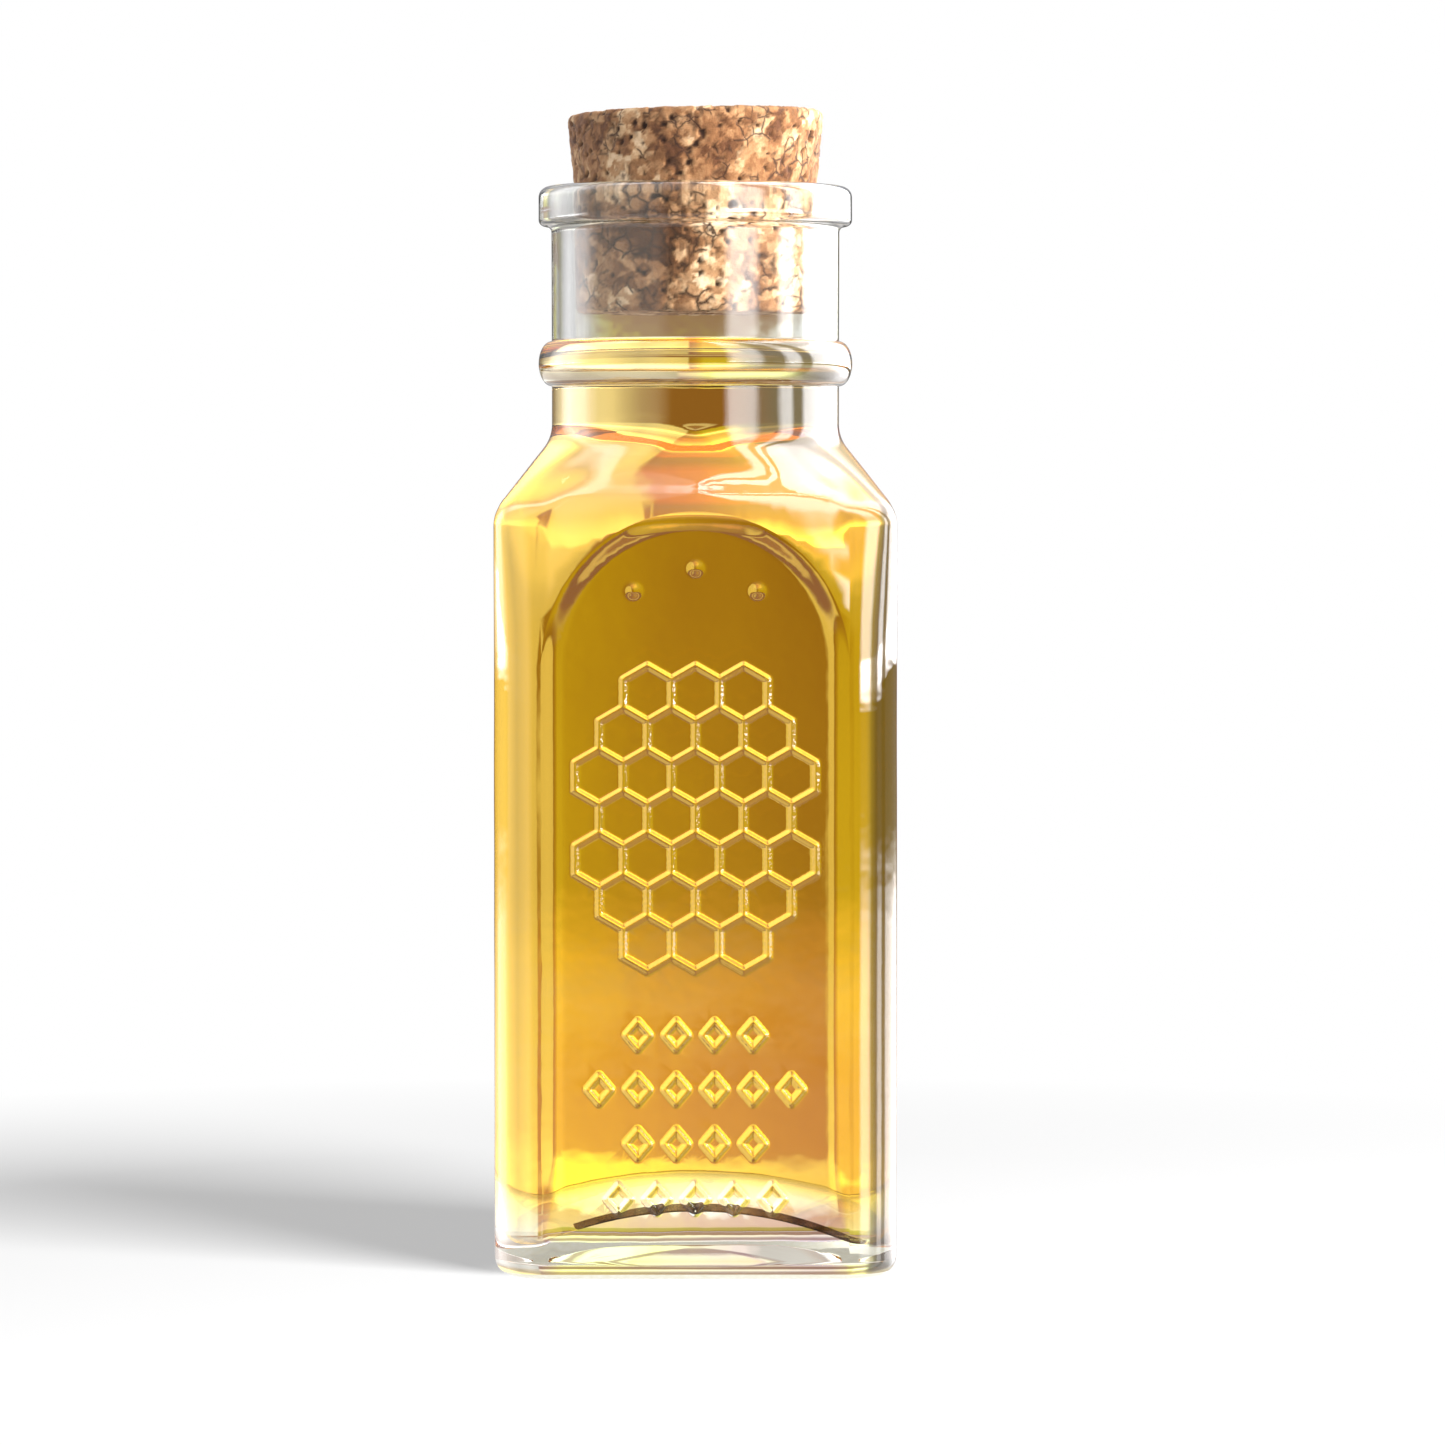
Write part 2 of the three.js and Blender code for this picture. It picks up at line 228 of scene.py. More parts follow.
# Camera, lamps and floor, in metres, watts and degrees
CAMERA_PLACE = (0, -0.566, 0.0734)
CAMERA_AIM = (0.00255, 0, 0.0505)
CAMERA_LENS = 149.5
KEY_PLACE = (0.46, -0.42, 0.42)
KEY_AIM = (0, 0, 0.05)
KEY_SIZE = 0.4
KEY_POWER = 6.6
SPOT_PLACE = (0.57, -0.18, 0.16)
SPOT_AIM = (0, 0, 0.097)
SPOT_CONE = 5.0
SPOT_BLEND = 0.4
SPOT_SIZE = 0.05
SPOT_POWER = 170.0
FLOOR_RADIUS = 0.7
FLOOR_SIDES = 96
FLOOR_FADE = (0.09, 0.17)  # from here to there the floor turns white for the camera
BOUNCES = 32

# Spans of the ramps below, in degrees
LEVELS = (-30, 30)
BELOW = (-90, -30)
WINDOW_RISE = (-30, 60)
ACROSS = (-12, 12)
WIDE = (-30, 30)
AROUND = (-180, 180)

# Light by direction, as stops (angle in degrees, red, green, blue). Azimuth is 0 behind the jar
# and grows to the right. First what is seen through the glass: a backdrop with its light by level, its
# tint across and its share across low and high up, the room beside it, and the light from below
BACKDROP_LEVELS = [
    (-30, 1.1, 0.62, 0.38),
    (-22, 1.1, 0.54, 0.28),
    (-18, 0.74, 0.5, 0.36),
    (-12, 0.84, 0.58, 0.42),
    (-8.6, 1.25, 1.2, 0.95),
    (-7.8, 1.5, 1.6, 1.4),
    (-6.95, 1.5, 1.6, 1.4),
    (-6.55, 0.9, 0.62, 0.42),
    (-5.8, 0.86, 0.57, 0.36),
    (-4.9, 0.9, 0.66, 0.38),
    (-3.9, 0.55, 0.43, 0.1),
    (-0.2, 0.46, 0.34, 0.06),
    (0.3, 0.31, 0.17, 0.07),
    (1.0, 0.31, 0.17, 0.07),
    (1.2, 0.8, 0.75, 0.76),
    (1.45, 0.8, 0.75, 0.76),
    (1.65, 0.4, 0.24, 0.16),
    (6, 0.4, 0.26, 0.13),
    (6.9, 1.2, 1.1, 0.75),
    (8.6, 1.2, 1.1, 0.75),
    (10.5, 0.8, 0.7, 0.5),
    (13, 0.5, 0.36, 0.28),
    (18, 0.5, 0.36, 0.28),
    (24, 1.2, 1.15, 1.0),
    (30, 1.2, 1.15, 1.0),
]
BACKDROP_TINTS = [
    (-12, 1.4, 1.7, 1.4),
    (-2, 1.4, 1.7, 1.2),
    (-1.2, 1.22, 1.38, 0.8),
    (0, 1.0, 1.0, 1.0),
    (1.3, 0.84, 0.77, 1.0),
]
BACKDROP_SHARES = [
    (-12, 0.0, 0.0, 0.0),
    (-8, 1.0, 1.0, 1.0),
    (1.45, 1.0, 1.0, 1.0),
    (2.0, 0.0, 0.0, 0.0),
]
HIGH_SHARES = [
    (-24, 0.0, 0.0, 0.0),
    (-8, 1.0, 1.0, 1.0),
    (6, 1.0, 1.0, 1.0),
    (24, 0.0, 0.0, 0.0),
]
HIGH_LEVELS = [
    (-0.3, 0.0, 0.0, 0.0),
    (0.3, 1.0, 1.0, 1.0),
    (1.9, 1.0, 1.0, 1.0),
    (2.5, 0.0, 0.0, 0.0),
]
ROOM_SIDES = [
    (-180, 0.6, 0.5, 0.36),
    (-75, 0.56, 0.47, 0.34),
    (-55, 0.24, 0.24, 0.22),
    (-16, 0.22, 0.21, 0.18),
    (-9, 0.53, 0.54, 0.27),
    (1.5, 0.9, 0.9, 0.85),
    (6, 1.05, 1.05, 1.0),
    (14, 0.85, 0.85, 0.8),
    (26, 1.3, 1.3, 1.25),
    (60, 1.3, 1.3, 1.3),
    (78, 0.56, 0.47, 0.34),
    (180, 0.6, 0.5, 0.36),
]
ROOM_LEVELS = [
    (-30, 1.13, 1.02, 0.95),
    (-14, 1.4, 1.4, 1.4),
    (-9, 1.9, 1.9, 1.9),
    (-7, 1.9, 1.9, 1.9),
    (-6.1, 1.3, 1.3, 1.2),
    (-4.9, 1.2, 1.2, 1.15),
    (-3.9, 1.0, 1.0, 1.0),
    (-0.2, 1.0, 1.0, 1.0),
    (0.4, 0.75, 0.72, 0.68),
    (5, 0.75, 0.72, 0.68),
    (13, 0.6, 0.52, 0.48),
    (18, 0.6, 0.52, 0.48),
    (25, 1.7, 1.7, 1.7),
    (30, 2.0, 2.0, 2.0),
]
UNDER_LEVELS = [
    (-90, 3.0, 3.6, 3.2),
    (-48, 3.0, 3.6, 3.2),
    (-32, 1.0, 1.0, 1.0),
]

# Then what is mirrored in the glass: windows with their light across and by level, a glow and the table
WINDOW_SIDES = [
    (-165, 0.0, 0.0, 0.0),
    (-96, 0.2, 0.2, 0.2),
    (-80, 6.0, 6.0, 6.2),
    (-58, 6.0, 6.0, 6.2),
    (-42, 0.8, 0.8, 0.9),
    (-24, 0.15, 0.15, 0.15),
    (16, 0.2, 0.2, 0.2),
    (36, 12.5, 12.5, 12.8),
    (82, 12.5, 12.5, 12.8),
    (86, 1.2, 1.2, 1.2),
    (94, 1.2, 1.2, 1.2),
    (98, 12.5, 12.5, 12.8),
    (107, 12.5, 12.5, 12.8),
    (112, 1.2, 1.2, 1.2),
    (126, 1.2, 1.2, 1.2),
    (133, 11.0, 11.0, 11.2),
    (151, 11.0, 11.0, 11.2),
    (158, 0.0, 0.0, 0.0),
]
WINDOW_HEIGHTS = [
    (-30, 0.1, 0.1, 0.1),
    (-12, 0.35, 0.35, 0.35),
    (-7, 0.8, 0.75, 0.72),
    (-4.3, 0.7, 0.68, 0.66),
    (-3.5, 0.04, 0.04, 0.03),
    (-1.8, 0.02, 0.02, 0.02),
    (-1.4, 2.8, 2.8, 2.8),
    (-0.6, 2.8, 2.8, 2.8),
    (-0.1, 1.0, 1.0, 1.0),
    (36, 1.0, 1.0, 1.0),
    (42, 0.5, 0.5, 0.5),
    (54, 0.5, 0.5, 0.5),
    (60, 1.0, 1.0, 1.0),
]
SIDE_GLOW = [
    (-160, 0.0, 0.0, 0.0),
    (-148, 1.2, 1.2, 1.15),
    (-95, 1.2, 1.2, 1.15),
    (-88, 0.0, 0.0, 0.0),
]
TABLE_LEVELS = [
    (-30, 0.9, 0.89, 0.88),
    (-5.6, 0.75, 0.74, 0.75),
    (-4.2, 0.06, 0.06, 0.06),
    (3, 0.03, 0.03, 0.03),
    (28, 1.2, 1.2, 1.3),
]
DIFFUSE_LIGHT = (0.6, 0.6, 0.6, 1)

# Sizes that follow
FRONT_TURN = FRONT * math.pi / 2
FRONT_START = FRONT * (FLAT_STEPS + CORNER_STEPS)  # columns of the front
FRONT_END = FRONT_START + FLAT_STEPS
NECK_FOOT = BODY_RISE + SHOULDER_RISE
LIP_FOOT = NECK_FOOT + NECK_RISE
LIP_TOP = jar_corner.z
INNER_HALF = BODY_HALF - BODY_WALL
INNER_CORNER = BODY_CORNER - BODY_WALL
MOUTH_RADIUS = CORK_RADIUS - CORK_TAPER * (CORK_TOP - LIP_TOP) + CORK_GAP
BORE_RADIUS = MOUTH_RADIUS - BORE_DRAFT
NECK_RADIUS = MOUTH_RADIUS + NECK_WALL
CONTACT = HONEY_LEVEL + MENISCUS
PANEL_HALF = BODY_HALF - BODY_CORNER - PANEL_MARGIN
ARCH_MIDDLE = BODY_RISE + ARCH_OVER_SHOULDER - PANEL_HALF
PANEL_FLAT_HALF = PANEL_HALF - PANEL_BEVEL
CELL = 2 * PANEL_FLAT_HALF / (max(COMB_ROWS) + COMB_SPARE)
COMB_MIDDLE = ARCH_MIDDLE - COMB_DROP * CELL
LOZENGE_PITCH = 2 * (PANEL_FLAT_HALF - LOZENGE_MARGIN) / max(LOZENGE_ROWS)
LOZENGE_LOW = PANEL_FOOT + LOZENGE_FOOT
LOZENGE_HALF_WIDTH = (LOZENGE_PITCH - LOZENGE_GAP - RIDGE_WIDTH) / 2
LOZENGE_HALF_HEIGHT = (LOZENGE_HEIGHT - RIDGE_WIDTH) / 2


def edge_distance(half, corner, angles):
    """Distance from the axis to a rounded square; a corner as large as the half is a circle."""
    quarter = math.pi / 2
    off = np.mod(angles, quarter)
    off = np.minimum(off, quarter - off)
    core = half - corner
    reach = np.maximum(corner**2 - core**2 * (1 - np.sin(2 * off)), 0)
    rounded = core * (np.cos(off) + np.sin(off)) + np.sqrt(reach)
    return np.where(half * np.tan(off) <= core, half / np.cos(off), rounded)


def ring_angles():
    """Directions of the points of a ring: the flat and then the corner of each side in turn."""
    flat_end = math.atan((BODY_HALF - BODY_CORNER) / BODY_HALF)
    angles = []
    for quarter in range(4):
        middle = quarter * math.pi / 2
        corner_end = middle + math.pi / 2 - flat_end
        angles.append(np.linspace(middle - flat_end, middle + flat_end, FLAT_STEPS, endpoint=False))
        angles.append(np.linspace(middle + flat_end, corner_end, CORNER_STEPS, endpoint=False))
    return np.concatenate(angles)


def ring(station, angles):
    """The points of one level of a lofted form: its half width, corner and height."""
    half, corner, height = station
    distance = edge_distance(half, corner, angles)
    x = distance * np.cos(angles)
    y = distance * np.sin(angles)
    z = height(x, y) if callable(height) else np.full_like(x, height)
    return np.stack([x, y, z], axis=1)


def arc(radius, height, size, start, end, steps=ROUND_STEPS):
    """Points (radius, height) on an arc; angles in degrees from straight out."""
    angles = np.radians(np.linspace(start, end, steps + 1))
    return [(radius + size * math.cos(a), height + size * math.sin(a)) for a in angles]


def between(start, end, steps=ROUND_STEPS):
    """Points between two points, without the two themselves."""
    shares = np.linspace(0, 1, steps + 1)[1:-1]
    return [tuple(np.array(start) * (1 - s) + np.array(end) * s) for s in shares]


def shoulder_line(wide, wide_round, narrow, narrow_fillet):
    """Rounded out of the body, straight, then filleted into the neck."""
    across = narrow + narrow_fillet - (wide - wide_round)
    span = math.hypot(across, SHOULDER_RISE)
    lean = math.atan2(SHOULDER_RISE, across) - math.acos((wide_round + narrow_fillet) / span)
    turn = math.degrees(lean)
    outward = arc(wide - wide_round, BODY_RISE, wide_round, 0, turn)
    inward = arc(narrow + narrow_fillet, NECK_FOOT, narrow_fillet, 180 + turn, 180)
    return outward + between(outward[-1], inward[0]) + inward


def shoulder_stations(line, wide_corner):
    """Stations along a shoulder line, whose corners grow until the square is a circle."""
    wide = line[0][0]
    narrow = line[-1][0]
    stations = []
    for half, height in line:
        share = (wide - half) / (wide - narrow)
        stations.append((half, wide_corner + (narrow - wide_corner) * share, height))
    return stations


def round_stations(line):
    return [(radius, radius, height) for radius, height in line]


def floor_height(x, y):
    edge = (x**2 + y**2) / INNER_HALF**2
    corner = x * y / INNER_HALF**2
    return FLOOR_CROWN - FLOOR_EDGE_FALL * edge - FLOOR_CORNER_FALL * corner**2


def hollow_stations(gap):
    """The hollow from the floor to the foot of the neck, drawn in all round by a gap."""
    half = INNER_HALF - gap
    corner = INNER_CORNER - gap

    def over(rise):
        return lambda x, y: floor_height(x, y) + gap + rise

    stations = []
    for size in np.linspace(0, half - FLOOR_FILLET, FLOOR_STEPS + 1)[1:-1]:
        stations.append((size, corner * size / half, over(0)))
    for size, rise in arc(half - FLOOR_FILLET, FLOOR_FILLET, FLOOR_FILLET, -90, 0):
        stations.append((size, corner * size / half, over(rise)))
    for height in np.linspace(FLOOR_CROWN + FLOOR_FILLET, BODY_RISE, WALL_STEPS)[1:-1]:
        stations.append((half, corner, height))
    line = shoulder_line(half, SHOULDER_ROUND - BODY_WALL, BORE_RADIUS - gap, NECK_FILLET + NECK_WALL)
    return stations + shoulder_stations(line, corner)


def bore_radius(height):
    share = (height - NECK_FOOT) / (LIP_TOP - MOUTH_ROUND - NECK_FOOT)
    return BORE_RADIUS + BORE_DRAFT * share


def underside_stations():
    """The hollow under the base, the ring it stands on and the rounded heel."""
    stations = []
    push_up_half = BODY_HALF - STAND_WIDTH
    for share in np.linspace(0, 1, FLOOR_STEPS + 1)[1:]:
        half = share * push_up_half
        stations.append((half, BODY_CORNER * half / BODY_HALF, PUSH_UP_RISE * (1 - share**2)))
    for half, height in arc(BODY_HALF - HEEL, HEEL, HEEL, -90, 0):
        stations.append((half, BODY_CORNER * half / BODY_HALF, height))
    return stations


def neck_line():
    """The bead, the neck and the lip, up and over into the mouth."""
    bead = []
    for turn in np.radians(np.linspace(-90, 90, BEAD_STEPS + 1)):
        height = NECK_FOOT + BEAD_HEIGHT + BEAD_HALF_HEIGHT * math.sin(turn)
        bead.append((NECK_RADIUS + BEAD_PROUD * math.cos(turn), height))
    lip_radius = NECK_RADIUS + LIP_PROUD
    under = LIP_PROUD / 2
    straight_start = NECK_FOOT + BEAD_HEIGHT + BEAD_HALF_HEIGHT
    straight_end = LIP_FOOT - under
    return [
        (NECK_RADIUS, NECK_FOOT + BEAD_GUARD),
        (NECK_RADIUS, bead[0][1] - BEAD_GUARD),
        *bead,
        (NECK_RADIUS, straight_start + BEAD_GUARD),
        (NECK_RADIUS, straight_end - BEAD_GUARD),
        *arc(NECK_RADIUS + under, LIP_FOOT - under, under, 180, 90),
        *arc(lip_radius - under, LIP_FOOT + under, under, -90, 0)[1:],
        *arc(lip_radius - LIP_ROUND, LIP_TOP - LIP_ROUND, LIP_ROUND, 0, 90),
        *arc(MOUTH_RADIUS + MOUTH_ROUND, LIP_TOP - MOUTH_ROUND, MOUTH_ROUND, 90, 180),
    ]


def unevenness(points):
    """Moves points a little out or in, as moulded glass does."""
    moved = []
    for point in points:
        shift = noise.noise_vector(Vector(point) / UNEVEN_SPAN)
        moved.append((point[0] + UNEVEN * shift.x, point[1] + UNEVEN * shift.y, point[2]))
    return moved


def drawn_back(points):
    """Draws the front of the shoulder back round the arch, which is left standing as a flat facet."""
    points = np.array(points)
    across = np.abs(points[:, 0])
    over_arch = np.maximum(points[:, 2] - ARCH_MIDDLE, 0)
    outside = np.maximum(np.hypot(np.minimum(across, PANEL_HALF), over_arch) - PANEL_HALF, 0)
    facing = eased((1 - (points[:, 1] + across) / BODY_CORNER) / 2)
    slope_foot = BODY_RISE + SHOULDER_ROUND
    fading = 1 - eased((points[:, 2] - slope_foot) / (NECK_FOOT - slope_foot))
    points[:, 1] += EASE_SLOPE * outside**2 / (outside + EASE_SOFT) * facing * fading
    return points


def along(corners, step):
    """Points along a closed outline."""
    points = []
    for start, end in zip(corners, np.roll(corners, -1, axis=0)):
        count = max(1, round(np.linalg.norm(end - start) / step))
        points.append(start + (end - start) * (np.arange(count) / count)[:, None])
    return np.concatenate(points)


def turned(centre, size, turns):
    """Points round a centre at turns in degrees."""
    angles = np.radians(turns)
    return np.array(centre) + size * np.stack([np.cos(angles), np.sin(angles)], axis=1)


def row_places(count, pitch):
    return (np.arange(count) - (count - 1) / 2) * pitch


def comb_cells():
    """Middles of the cells of the honeycomb."""
    cells = []
    for row, count in enumerate(COMB_ROWS):
        height = COMB_MIDDLE + ((len(COMB_ROWS) - 1) / 2 - row) * CELL * math.sqrt(3) / 2
        cells += [(x, height) for x in row_places(count, CELL)]
    return cells


def lozenge_middles():
    middles = []
    for row, count in enumerate(LOZENGE_ROWS):
        middles += [(x, LOZENGE_LOW + row * LOZENGE_ROW_STEP) for x in row_places(count, LOZENGE_PITCH)]
    return middles


def dot_middles():
    return turned((0, ARCH_MIDDLE), DOT_REACH * CELL, 90 - np.array(DOT_TILTS))


def hexagon(cell, inset=0):
    return turned(cell, (CELL - 2 * inset) / math.sqrt(3), [30, 90, 150, 210, 270, 330])


def lozenge(middle, offset=0):
    """A lozenge whose sides stand off its middle line by the offset."""
    side = math.hypot(LOZENGE_HALF_WIDTH, LOZENGE_HALF_HEIGHT)
    inside = LOZENGE_HALF_WIDTH * LOZENGE_HALF_HEIGHT / side
    grow = 1 + offset / inside
    wide = LOZENGE_HALF_WIDTH * grow
    tall = LOZENGE_HALF_HEIGHT * grow
    return np.array(middle) + np.array([(wide, 0), (0, tall), (-wide, 0), (0, -tall)])


def arch(inset):
    """The outline of a panel, drawn in by the inset."""
    half = PANEL_HALF - inset
    low = PANEL_FOOT + PANEL_FOOT_ROUND
    foot_round = PANEL_FOOT_ROUND - inset
    side = PANEL_HALF - PANEL_FOOT_ROUND
    return np.concatenate(
        [
            turned((0, ARCH_MIDDLE), half, np.linspace(0, 180, ARCH_POINTS)),
            turned((-side, low), foot_round, np.linspace(180, 270, ARCH_FOOT_POINTS)),
            turned((side, low), foot_round, np.linspace(270, 360, ARCH_FOOT_POINTS)),
        ]
    )


def arch_inset(points):
    """How far points lie inside the outline of a panel."""
    x = np.abs(points[:, 0])
    z = points[:, 1]
    corner_x = x - (PANEL_HALF - PANEL_FOOT_ROUND)
    corner_z = PANEL_FOOT + PANEL_FOOT_ROUND - z
    square = np.minimum(PANEL_HALF - x, z - PANEL_FOOT)
    rounded = PANEL_FOOT_ROUND - np.hypot(corner_x, corner_z)
    low = np.where((corner_x > 0) & (corner_z > 0), rounded, square)
    return np.where(z > ARCH_MIDDLE, PANEL_HALF - np.hypot(x, z - ARCH_MIDDLE), low)


def ridge_segments():
    """The middle lines of the ridges, each once."""
    outlines = [hexagon(cell) for cell in comb_cells()]
    outlines += [lozenge(middle) for middle in lozenge_middles()]
    segments = {}
    for outline in outlines:
        for start, end in zip(outline, np.roll(outline, -1, axis=0)):
            segments[tuple(np.round((start + end) / 2, 2))] = (start, end)
    return np.array(list(segments.values()))


def distance_to_ridges(points, segments):
    start = segments[:, 0]
    along_ridge = segments[:, 1] - start
    offset = points[:, None] - start[None]
    share = np.clip((offset * along_ridge).sum(2) / (along_ridge**2).sum(1), 0, 1)
    return np.linalg.norm(offset - share[..., None] * along_ridge, axis=2).min(1)


def rounded_ridge(distance, reach):
    """Height of a ridge with rounded crest and feet, as a share of its full height."""
    return 0.5 + 0.5 * np.cos(math.pi * np.minimum(distance / reach, 1))


def relief_height(points, segments):
    dots = np.array(dot_middles())
    to_dot = np.linalg.norm(points[:, None] - dots[None], axis=2).min(1)
    ridges = rounded_ridge(distance_to_ridges(points, segments), RIDGE_REACH)
    return RELIEF_PROUD * np.maximum(ridges, rounded_ridge(to_dot, DOT_RADIUS))


def eased(share):
    """Nought to one with a soft start and end."""
    share = np.clip(share, 0, 1)
    return share**2 * (3 - 2 * share)


def panel_depth(points):
    run_out = eased((points[:, 1] - PANEL_FOOT) / PANEL_RUN_OUT)
    return PANEL_DEPTH * run_out * eased(arch_inset(points) / PANEL_BEVEL)


def panel_points():
    """Points that carry the bevel of a panel and the plain glass in and around it."""
    bevel = np.linspace(0, 1, BEVEL_LINES) * PANEL_BEVEL
    insets = [-PANEL_MARGIN / 2, *bevel, PANEL_BEVEL + BEVEL_MARGIN]
    return np.concatenate([along(arch(inset), ARCH_STEP) for inset in insets])


def relief_points():
    """Points that carry the ridges and dots: lines along them at set distances from their crests."""
    offsets = np.array(RIDGE_LINES) * RIDGE_REACH
    cells = comb_cells()
    real = {tuple(np.round(cell, 2)) for cell in cells}
    around = {}
    for cell in cells:
        for near in turned(cell, CELL, np.arange(6) * 60):
            if tuple(np.round(near, 2)) not in real:
                around[tuple(np.round(near, 2))] = near
    loops = []
    for cell in [*cells, *around.values()]:
        loops += [along(hexagon(cell, inset), RIDGE_STEP) for inset in offsets]
    for middle in lozenge_middles():
        for offset in [*offsets, *-offsets[1:]]:
            loops.append(along(lozenge(middle, offset), RIDGE_STEP))
    for middle in dot_middles():
        for share in DOT_LINES:
            loops.append(turned(middle, share * DOT_RADIUS, np.arange(0, 360, DOT_TURN)))
    points = np.concatenate(loops)
    return points[arch_inset(points) > PANEL_BEVEL + RELIEF_MARGIN]


def plain_points(segments):
    """A sparse grid over the glass away from the bevel and the ridges."""
    across = np.arange(-BODY_HALF + BODY_CORNER + PLAIN_EDGE, BODY_HALF - BODY_CORNER, PLAIN_STEP)
    up = np.arange(HEEL + PLAIN_EDGE, BODY_RISE, PLAIN_STEP)
    grid = np.stack(np.meshgrid(across, up), axis=2).reshape(-1, 2)
    inset = arch_inset(grid)
    off_bevel = (inset < -PLAIN_OUTSIDE) | (inset > PANEL_BEVEL + PLAIN_INSIDE)
    off_ridges = distance_to_ridges(grid, segments) > PLAIN_RIDGES * RIDGE_REACH
    return grid[off_bevel & off_ridges]


def outside_at(heights):
    """Half width and corner of the outside, from the heel to the rounding of the shoulder."""
    over = np.clip(heights - BODY_RISE, 0, SHOULDER_ROUND)
    half = BODY_HALF - SHOULDER_ROUND + np.sqrt(SHOULDER_ROUND**2 - over**2)
    share = (BODY_HALF - half) / (BODY_HALF - NECK_RADIUS)
    return half, BODY_CORNER + (NECK_RADIUS - BODY_CORNER) * share


def panel_mesh(rim, middle, first):
    """Triangles between the points of a rim and the points inside it, drawn flat and then set in place.
    The rim is a list of (index, across, height); first is the index of the first new point."""
    segments = ridge_segments()
    inner = np.concatenate([panel_points(), plain_points(segments), relief_points()])
    inner = np.unique(np.round(inner / POINT_GRID), axis=0) * POINT_GRID
    inner = inner[np.abs(inner[:, 0]) < BODY_HALF - BODY_CORNER - POINT_GRID]
    flat = [Vector(point[1:]) for point in rim] + [Vector(point) for point in inner]
    edges = [(i, (i + 1) % len(rim)) for i in range(len(rim))]
    places, _, triangles, sources, _, _ = delaunay_2d_cdt(flat, edges, [], 0, TOUCHING)
    indices = []
    fresh = []
    for place, source in zip(places, sources):
        on_rim = [i for i in source if i < len(rim)]
        if on_rim:
            indices.append(rim[on_rim[0]][0])
        else:
            indices.append(first + len(fresh))
            fresh.append(tuple(place))
    fresh = np.array(fresh)
    angles = middle + np.arctan(fresh[:, 0] / BODY_HALF)
    half, corner = outside_at(fresh[:, 1])
    distance = edge_distance(half, corner, angles)
    sunk = panel_depth(fresh) - relief_height(fresh, segments)
    x = distance * np.cos(angles) - sunk * math.cos(middle)
    y = distance * np.sin(angles) - sunk * math.sin(middle)
    points = np.stack([x, y, fresh[:, 1]], axis=1)
    return points, [[indices[i] for i in triangle] for triangle in triangles]


def outside_stations():
    """The outside up into the mouth, and the rows between which the front is set in."""
    under = underside_stations()
    wall = [(BODY_HALF, BODY_CORNER, h) for h in np.linspace(HEEL, BODY_RISE, WALL_STEPS + 1)[1:-1]]
    line = shoulder_line(BODY_HALF, SHOULDER_ROUND, NECK_RADIUS, NECK_FILLET)
    shoulder = shoulder_stations(line, BODY_CORNER)
    low_row = len(under) - 1
    high_row = low_row + len(wall) + 1 + ROUND_STEPS
    return [*under, *wall, *shoulder, *round_stations(neck_line())], low_row, high_row


def inside_stations():
    """The inside from the mouth down to the floor, and the first row that honey wets."""
    dry = [(bore_radius(h), h) for h in np.linspace(LIP_TOP - MOUTH_ROUND, CONTACT, WALL_STEPS)[1:]]
    wet = [(bore_radius(h), h) for h in np.linspace(CONTACT, NECK_FOOT, ROUND_STEPS)[1:-1]]
    return [*round_stations(dry), *round_stations(wet), *hollow_stations(0)[::-1]], len(dry) - 1


def front_rim(stations, angles, low_row, high_row):
    """The points round the gap in the front, as (index, across, height)."""
    border = [(low_row, column) for column in range(FRONT_START, FRONT_END)]
    border += [(row, FRONT_END) for row in range(low_row, high_row)]
    border += [(high_row, column) for column in range(FRONT_END, FRONT_START, -1)]
    border += [(row, FRONT_START) for row in range(high_row, low_row, -1)]
    rim = []
    for row, column in border:
        across = BODY_HALF * math.tan(angles[column % len(angles)] - FRONT_TURN)
        rim.append((point_at(row, column, len(angles)), across, stations[row][2]))
    return rim


def glass_mesh():
    """The bottle: a loft from the underside over the lip to the inside floor, with the front set in."""
    angles = ring_angles()
    count = len(angles)
    outside, low_row, high_row = outside_stations()
    inside, first_wet = inside_stations()
    stations = [*outside, *inside]
    fillet_start = len(stations) - FLOOR_STEPS - ROUND_STEPS
    top = len(stations) - 1

    def slot_of(row, column):
        # painted light on the stand ring
        if row in STAND_ROWS:
            return STIPPLED_PAINTED_LIGHT
        # painted shade on the front of the floor's fillet and round the right corner
        if row - fillet_start in PAINTED_SHADE_ROWS and FRONT_START < column < FRONT_END + PAINTED_SHADE_TURN:
            return PAINTED_SHADE_EDGE
        return WET if row >= len(outside) + first_wet else CLEAR

    points = [(0, 0, PUSH_UP_RISE)]
    for row, station in enumerate(stations):
        level = ring(station, angles)
        points += unevenness(drawn_back(level)) if row < len(outside) else level.tolist()
    points.append((0, 0, FLOOR_CROWN))
    last = len(points) - 1
    faces = []
    slots = []
    for column in range(count):
        faces.append([0, point_at(0, column + 1, count), point_at(0, column, count)])
        slots.append(CLEAR)
        for row in range(top):
            if low_row <= row < high_row and FRONT_START <= column < FRONT_END:
                continue
            faces.append(loft_quad(row, column, count))
            slots.append(slot_of(row, column))
        faces.append([last, point_at(top, column, count), point_at(top, column + 1, count)])
        slots.append(WET)

    rim = front_rim(stations, angles, low_row, high_row)
    fresh, triangles = panel_mesh(rim, FRONT_TURN, len(points))
    points += unevenness(drawn_back(fresh))
    faces += triangles
    slots += [CLEAR] * len(triangles)
    return *used_points(points, faces), slots


def used_points(points, faces):
    """The points that some face uses, and the faces numbered to match."""
    used = sorted({index for face in faces for index in face})
    number = {index: place for place, index in enumerate(used)}
    return [points[index] for index in used], [[number[index] for index in face] for face in faces]


